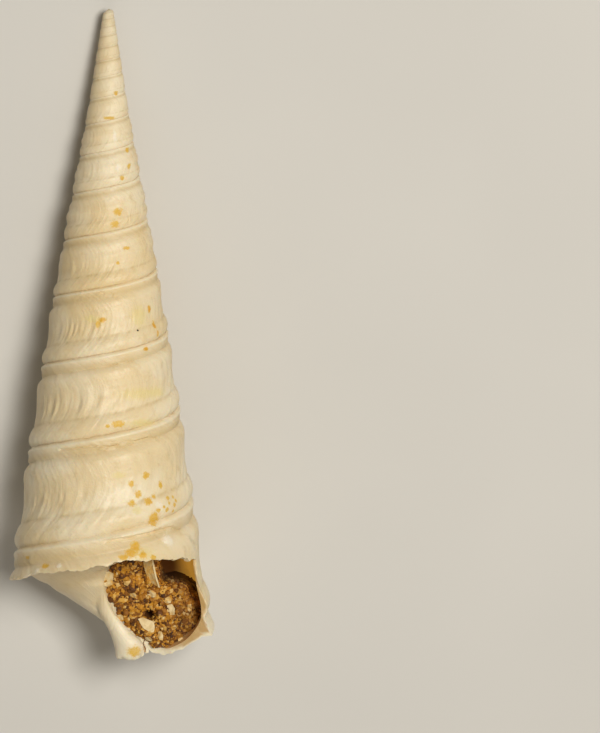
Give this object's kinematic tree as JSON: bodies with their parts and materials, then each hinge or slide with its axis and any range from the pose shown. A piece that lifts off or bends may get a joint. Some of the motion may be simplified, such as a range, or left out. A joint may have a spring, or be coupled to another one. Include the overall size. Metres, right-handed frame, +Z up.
{
  "type": "turritella fossil shell",
  "caption": "Slender tower-shaped fossil sea-snail shell lying on its back, its last whorl broken open and its aperture filled with cemented sand.",
  "frame": {"origin": "on the small flat worn on the underside keel of the last but one whorl, where the shell rests on the ground", "axes": "+Z up, towards the side of the aperture; +Y along the ground towards the shell's tip; +X to the right of the shell seen from above with the tip ahead"},
  "size_m": [0.0173, 0.0545, 0.0157],
  "materials": {
    "shell": "satin cream fossil shell with faint growth lines and ochre stains",
    "sand": "rough cemented ochre sand"
  },
  "bodies": {
    "root": {"shell": "shell", "sand_fill": "sand"}
  },
  "joints": []
}
